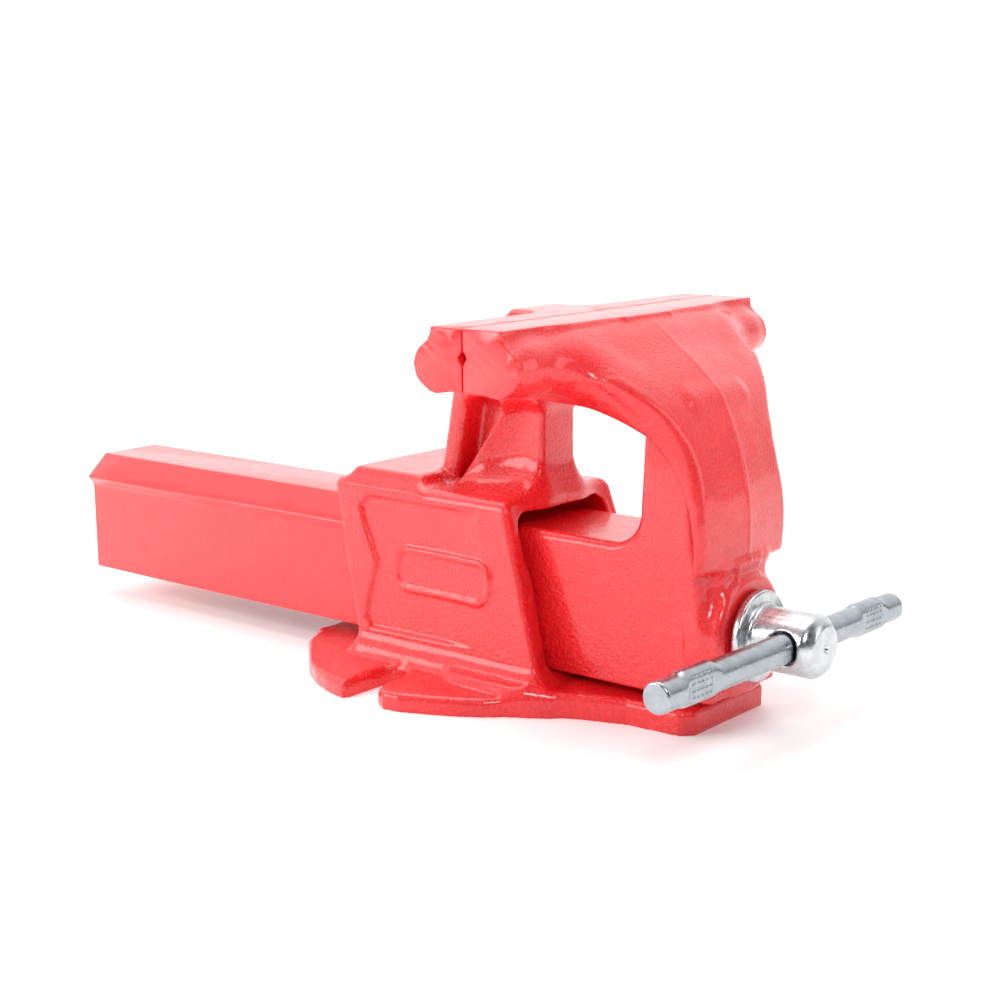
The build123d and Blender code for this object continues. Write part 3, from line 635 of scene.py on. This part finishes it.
def bar(x, y, z):
    """Tommy bar, upset by a gridded die near each end so that it can't slip out."""
    along, up = bar_frame(y, z)
    across = x - BAR_X
    end = np.minimum(BAR_NEAR_END + along, BAR_FAR_END - along)  # distance in from either end
    press = ramp(end, 13, 18) * (1 - ramp(end, 37, 42))
    radial = np.hypot(across / (1 - 0.05 * press), up / (1 + 0.17 * press)) - BAR_RADIUS
    radial = common(radial, np.abs(across) - BAR_RADIUS + 1.5 * press, 0.8)
    row = np.abs(((end - 19) / GRID_PITCH) % 1.0 - 0.5)
    line = np.abs((up / GRID_PITCH) % 1.0 - 0.5)
    groove = ramp(np.maximum(row, line), 0.3, 0.42) * GRID_DEPTH
    marked = ramp(end, 18.4, 19.2) * (1 - ramp(end, 34.6, 35.6)) * ramp(np.abs(across), 4, 5)
    radial = radial + groove * marked * (1 - ramp(np.abs(up), 5.6, 6.4))
    return common(radial, -end, 1.3)


# ---------------------------------------------------------------- the pieces
CASTING_FACES = 185000
SCREW_FACES = 120000
BAR_FACES = 90000
SCREW_STEP = 0.65 * GRID_STEP
BAR_STEP = 0.45 * GRID_STEP
fixed = sculpt("fixed_casting", fixed_casting, fixed_low, fixed_high, GRID_STEP, CASTING_FACES)
moving = sculpt("moving_casting", moving_casting, slide_low, slide_high, GRID_STEP, CASTING_FACES)
spindle = sculpt("threaded_screw", screw, screw_low, screw_high, SCREW_STEP, SCREW_FACES)
handle = sculpt("swaged_bar", bar, bar_low, bar_high, BAR_STEP, BAR_FACES)

for piece, body, node, finish in (
    (fixed, "base", "fixed_body", "painted_iron"),
    (moving, "slide", "moving_jaw", "painted_iron"),
    (spindle, "spindle", "lead_screw", "plated_steel"),
    (handle, "handle", "tommy_bar", "plated_steel"),
):
    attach(piece, body)
    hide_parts(node)


def mesh_points(obj):
    """Vertices of an object in millimetres."""
    points = np.empty(len(obj.data.vertices) * 3, np.float32)
    obj.data.vertices.foreach_get("co", points)
    return points.reshape(-1, 3) / METRE


def paint_mask(obj, name, values):
    """Stores one number per vertex for the material to read."""
    layer = obj.data.attributes.new(name, "FLOAT", "POINT")
    layer.data.foreach_set("value", np.asarray(values, np.float32))


def smooth_areas(obj, face_x, smooth_slide):
    """Where a casting was machined before painting: 1 there, 0 where the sand left its grain."""
    x, y, z = mesh_points(obj).T
    mask = 1 - ramp(JAW_TOP - z, 0.2, 0.8)
    mask = np.maximum(mask, 1 - ramp(JAW_HALF - np.abs(y), 0.3, 1.2))
    mask = np.maximum(mask, (np.abs(x - face_x) < 2.6) * (z > JAW_TOP - JAW_DROP - 2))
    if smooth_slide:
        mask = np.maximum(mask, 1 - ramp(x, BOX_START - 6, BOX_START + 2))
        mask = np.maximum(mask, (x > BOSS_FACE - 0.4) * (z > 60))
    else:
        mask = np.maximum(mask, (z > ANVIL_TOP - 0.5) * (z < ANVIL_TOP + 1))
    paint_mask(obj, "machined", mask)
    paint_mask(obj, "sawn", 1 - ramp(JAW_HALF - np.abs(y), 0.2, 0.7))


smooth_areas(fixed, FIXED_FACE, False)
smooth_areas(moving, MOVING_FACE, True)


# ---------------------------------------------------------------- materials
class Nodes:
    """Short way to build a node material."""

    def __init__(self, name):
        self.material = bpy.data.materials.new(name)
        self.material.use_nodes = True
        self.tree = self.material.node_tree
        self.shader = self.tree.nodes["Principled BSDF"]
        self.place = self.add("ShaderNodeTexCoord").outputs["Object"]

    def add(self, kind, **settings):
        node = self.tree.nodes.new(kind)
        for key, value in settings.items():
            setattr(node, key, value)
        return node

    def link(self, source, target):
        self.tree.links.new(source, target)

    def noise(self, size, detail=2.0, roughness=0.5, stretch=(1, 1, 1), seed=0.0):
        """Noise whose features are about so many millimetres across."""
        mapping = self.add("ShaderNodeMapping")
        mapping.inputs["Scale"].default_value = stretch
        mapping.inputs["Location"].default_value = (seed, 0.37 * seed, 0.71 * seed)
        self.link(self.place, mapping.inputs["Vector"])
        node = self.add("ShaderNodeTexNoise")
        node.inputs["Scale"].default_value = 1 / (size * METRE)
        node.inputs["Detail"].default_value = detail
        node.inputs["Roughness"].default_value = roughness
        self.link(mapping.outputs["Vector"], node.inputs["Vector"])
        return node.outputs["Fac"]

    def remap(self, source, low, high, to_low=0.0, to_high=1.0):
        node = self.add("ShaderNodeMapRange")
        node.inputs["From Min"].default_value = low
        node.inputs["From Max"].default_value = high
        node.inputs["To Min"].default_value = to_low
        node.inputs["To Max"].default_value = to_high
        self.link(source, node.inputs["Value"])
        return node.outputs["Result"]

    def math(self, operation, a, b):
        node = self.add("ShaderNodeMath", operation=operation)
        for socket, value in zip(node.inputs, (a, b)):
            if isinstance(value, (int, float)):
                socket.default_value = value
            else:
                self.link(value, socket)
        return node.outputs["Value"]

    def blend(self, factor, a, b):
        """Colour a where the factor is 0 and b where it is 1."""
        node = self.add("ShaderNodeMix", data_type="RGBA")
        self.link(factor, node.inputs["Factor"])
        for socket, value in zip((node.inputs["A"], node.inputs["B"]), (a, b)):
            if isinstance(value, tuple):
                socket.default_value = value
            else:
                self.link(value, socket)
        return node.outputs["Result"]

    def bump(self, height, distance, strength=1.0, under=None):
        """Normal from a height of 0..1 that stands for so many millimetres."""
        node = self.add("ShaderNodeBump")
        node.inputs["Distance"].default_value = distance * METRE
        node.inputs["Strength"].default_value = strength
        self.link(height, node.inputs["Height"])
        if under is not None:
            self.link(under, node.inputs["Normal"])
        return node.outputs["Normal"]

    def mask(self, name):
        return self.add("ShaderNodeAttribute", attribute_name=name).outputs["Fac"]


def red_paint():
    """Thick gloss red enamel over sand-cast iron, smoother where the iron was machined."""
    n = Nodes("red_enamel")
    machined_area = n.mask("machined")
    rough_area = n.math("SUBTRACT", 1.0, machined_area)
    tint = n.remap(n.noise(22, detail=3, seed=3.1), 0.35, 0.65)
    colour = n.blend(tint, (0.80, 0.008, 0.013, 1), (0.88, 0.011, 0.017, 1))
    pooled = n.remap(n.noise(1.7, detail=1.5, seed=1.3), 0.3, 0.5, 1.0, 0.0)
    pooled = n.math("MULTIPLY", pooled, n.math("MULTIPLY", rough_area, 0.35))
    n.link(n.blend(pooled, colour, (0.64, 0.003, 0.006, 1)), n.shader.inputs["Base Color"])
    sheen = n.remap(n.noise(9, detail=3, seed=5.7), 0.3, 0.7, 0.34, 0.46)
    n.link(sheen, n.shader.inputs["Roughness"])
    n.shader.inputs["Coat Weight"].default_value = 0.8
    n.shader.inputs["Coat Roughness"].default_value = 0.14
    n.shader.inputs["IOR"].default_value = 1.5
    pebbles = n.remap(n.noise(1.6, detail=2.0, roughness=0.45, seed=2.2), 0.32, 0.68)
    pebbles = n.math("MULTIPLY", pebbles, rough_area)
    sawn = n.mask("sawn")
    cutter = n.noise(1.4, detail=1.0, seed=9.0, stretch=(0.9, 0.2, 0.35))
    cutter = n.math("MULTIPLY", cutter, machined_area)
    wave = n.add("ShaderNodeTexWave", wave_type="BANDS", bands_direction="DIAGONAL")
    wave.inputs["Scale"].default_value = 95.0
    wave.inputs["Distortion"].default_value = 1.6
    wave.inputs["Detail"].default_value = 2.0
    wave.inputs["Detail Scale"].default_value = 0.7
    saw = n.add("ShaderNodeMapping")
    saw.inputs["Rotation"].default_value = (0.0, math.radians(12), 0.0)
    saw.inputs["Scale"].default_value = (1.0, 0.0, 1.0)
    n.link(n.place, saw.inputs["Vector"])
    n.link(saw.outputs["Vector"], wave.inputs["Vector"])
    scored = n.math("MULTIPLY", wave.outputs["Fac"], sawn)
    normal = n.bump(pebbles, 0.38)
    normal = n.bump(cutter, 0.10, under=normal)
    normal = n.bump(scored, 0.3, under=normal)
    n.link(normal, n.shader.inputs["Normal"])
    return n.material


def zinc_plate(name, grey, grain):
    """Bright zinc plate with fine turning marks round the X axis or along the bar."""
    n = Nodes(name)
    n.shader.inputs["Metallic"].default_value = 1.0
    cloud = n.remap(n.noise(6, detail=4, seed=4.4), 0.3, 0.7)
    dark = tuple(0.80 * g for g in grey) + (1,)
    n.link(n.blend(cloud, dark, grey + (1,)), n.shader.inputs["Base Color"])
    rough = n.remap(n.noise(3, detail=4, seed=6.0), 0.3, 0.7, 0.2, 0.34)
    n.link(rough, n.shader.inputs["Roughness"])
    lines = n.noise(0.8, detail=3, stretch=grain, seed=1.0)
    dimples = n.noise(1.6, detail=2, seed=7.0)
    normal = n.bump(lines, 0.03)
    n.link(n.bump(dimples, 0.03, under=normal), n.shader.inputs["Normal"])
    return n.material


def bare_metal(name, grey, roughness):
    """Oiled bare steel or iron with a slight grain and darker stains."""
    n = Nodes(name)
    n.shader.inputs["Metallic"].default_value = 1.0
    stain = n.remap(n.noise(5, detail=5, roughness=0.6, seed=8.2), 0.35, 0.7)
    dark = tuple(0.55 * g for g in grey) + (1,)
    n.link(n.blend(stain, grey + (1,), dark), n.shader.inputs["Base Color"])
    n.link(
        n.remap(n.noise(2, detail=3, seed=2.5), 0.3, 0.7, roughness - 0.08, roughness + 0.1),
        n.shader.inputs["Roughness"],
    )
    n.link(n.bump(n.noise(0.9, detail=3, seed=3.3), 0.05), n.shader.inputs["Normal"])
    return n.material


def dress(obj, material):
    """Gives an object one material."""
    obj.data.materials.clear()
    obj.data.materials.append(material)


enamel = red_paint()
dress(fixed, enamel)
dress(moving, enamel)
dress(spindle, zinc_plate("zinc_turned", (0.66, 0.68, 0.70), (1.0, 0.15, 0.15)))
dress(handle, zinc_plate("zinc_drawn", (0.42, 0.46, 0.49), (0.6, 0.1, 0.6)))
steel = bare_metal("oiled_steel", (0.42, 0.42, 0.43), 0.35)
iron = bare_metal("machined_iron", (0.26, 0.25, 0.24), 0.5)
for node, material in (
    ("lead_nut", iron),
    ("nut_bolts", steel),
    ("nut_washers", steel),
    ("retaining_collar", steel),
    ("retaining_pin", steel),
    ("thrust_washer", steel),
):
    cad_object = frame["nodes"][node]
    if cad_object.material_slots:
        for slot in cad_object.material_slots:
            slot.material = material
    else:
        cad_object.data.materials.append(material)

# ---------------------------------------------------------------- floor, light and camera
CAMERA_AZIMUTH, CAMERA_ELEVATION, CAMERA_ROLL = (
    math.radians(angle) for angle in (39.785, 11.574, -0.513)
)
CAMERA_DISTANCE = 0.9024  # metres
CAMERA_TARGET = Vector((0.01777, 0.0, 0.08818))


def studio_white():
    """Matt white studio floor that glows from within, a painted light that grows away from the
    object, so that the floor near it stays darker as painted shade.
    """
    n = Nodes("studio_white")
    tone = n.remap(n.noise(400, detail=1), 0.3, 0.7)
    white = n.blend(tone, (0.91, 0.91, 0.91, 1), (0.93, 0.93, 0.93, 1))
    n.link(white, n.shader.inputs["Base Color"])
    n.shader.inputs["Roughness"].default_value = 0.8
    n.shader.inputs["Specular IOR Level"].default_value = 0.1
    n.shader.inputs["Emission Color"].default_value = (1, 1, 1, 1)
    away = n.add("ShaderNodeVectorMath", operation="LENGTH")
    n.link(n.place, away.inputs[0])
    # Painted glow: the floor gives off light of its own, weaker near the object, which leaves
    # painted shade round it.
    painted_glow = n.remap(away.outputs["Value"], 0.4, 2.0, 0.15, 0.6)
    n.link(painted_glow, n.shader.inputs["Emission Strength"])
    return n.material


def make_floor():
    """Wide round floor, with its rings closer together near the object."""
    radii = (0.5, 1.5, 4.0, 12.0, 40.0)
    count = 64
    vertices, faces = [(0, 0, 0)], []
    for radius in radii:
        for k in range(count):
            turn = 2 * math.pi * k / count
            vertices.append((radius * math.cos(turn), radius * math.sin(turn), 0))
    for k in range(count):
        faces.append((0, 1 + k, 1 + (k + 1) % count))
    for ring in range(len(radii) - 1):
        start = 1 + ring * count
        for k in range(count):
            after = (k + 1) % count
            faces.append((start + k, start + count + k, start + count + after, start + after))
    mesh = bpy.data.meshes.new("studio_floor")
    mesh.from_pydata(vertices, [], faces)
    mesh.shade_smooth()
    obj = bpy.data.objects.new("studio_floor", mesh)
    bpy.context.scene.collection.objects.link(obj)
    obj.data.materials.append(studio_white())
    return obj


make_floor()


def softbox(name, place, aim, width, height, power):
    """Rectangular area light at a place, aimed at a point, in metres."""
    data = bpy.data.lights.new(name, "AREA")
    data.shape = "RECTANGLE"
    data.size, data.size_y, data.energy = width, height, power
    light = bpy.data.objects.new(name, data)
    light.location = place
    light.rotation_mode = "QUATERNION"
    light.rotation_quaternion = (Vector(aim) - Vector(place)).to_track_quat("-Z", "Y")
    bpy.context.scene.collection.objects.link(light)


CENTRE = (0.03, 0.0, 0.09)
softbox("top_light", (-0.3, 0.15, 1.5), CENTRE, 1.2, 1.2, 12)
softbox("left_light", (-1.0, -1.4, 0.7), CENTRE, 1.2, 0.8, 17)
softbox("front_light", (0.85, -0.95, 0.95), CENTRE, 0.4, 0.3, 7)
softbox("right_light", (1.4, 0.5, 0.6), CENTRE, 0.6, 0.9, 4)
FILL_FROM = (-0.55, 0.6, 0.55)


def fill_world(tree):
    """Soft room light, bright from above and behind the object, dim from the camera's side."""
    background = tree.nodes["Background"]
    direction = tree.nodes.new("ShaderNodeTexCoord").outputs["Generated"]
    toward = tree.nodes.new("ShaderNodeVectorMath")
    toward.operation = "DOT_PRODUCT"
    toward.inputs[1].default_value = Vector(FILL_FROM).normalized()
    tree.links.new(direction, toward.inputs[0])
    shade = tree.nodes.new("ShaderNodeMapRange")
    shade.interpolation_type = "SMOOTHSTEP"
    shade.inputs["From Min"].default_value = -0.1
    shade.inputs["From Max"].default_value = 0.85
    shade.inputs["To Min"].default_value = 0.05
    shade.inputs["To Max"].default_value = 1.25
    tree.links.new(toward.outputs["Value"], shade.inputs["Value"])
    backdrop = tree.nodes.new("ShaderNodeLightPath")
    seen = tree.nodes.new("ShaderNodeMath")
    seen.operation = "MAXIMUM"
    tree.links.new(shade.outputs["Result"], seen.inputs[0])
    tree.links.new(backdrop.outputs["Is Camera Ray"], seen.inputs[1])
    tree.links.new(seen.outputs["Value"], background.inputs["Strength"])
    background.inputs["Color"].default_value = (1, 1, 1, 1)


world = bpy.data.worlds.new("studio")
world.use_nodes = True
fill_world(world.node_tree)
scene = bpy.context.scene
scene.world = world
scene.view_settings.view_transform = "Standard"

camera_data = bpy.data.cameras.new("camera")
camera_data.sensor_width = 36.0
camera_data.lens = 63.88
camera = bpy.data.objects.new("camera", camera_data)
scene.collection.objects.link(camera)
back = Vector(
    (
        math.sin(CAMERA_AZIMUTH) * math.cos(CAMERA_ELEVATION),
        -math.cos(CAMERA_AZIMUTH) * math.cos(CAMERA_ELEVATION),
        math.sin(CAMERA_ELEVATION),
    )
)
level_right = Vector((0, 0, 1)).cross(back).normalized()
level_up = back.cross(level_right)
right = level_right * math.cos(CAMERA_ROLL) + level_up * math.sin(CAMERA_ROLL)
up = back.cross(right)
camera.matrix_world = Matrix.Translation(CAMERA_TARGET + back * CAMERA_DISTANCE) @ Matrix(
    (right, up, back)
).transposed().to_4x4()
scene.camera = camera
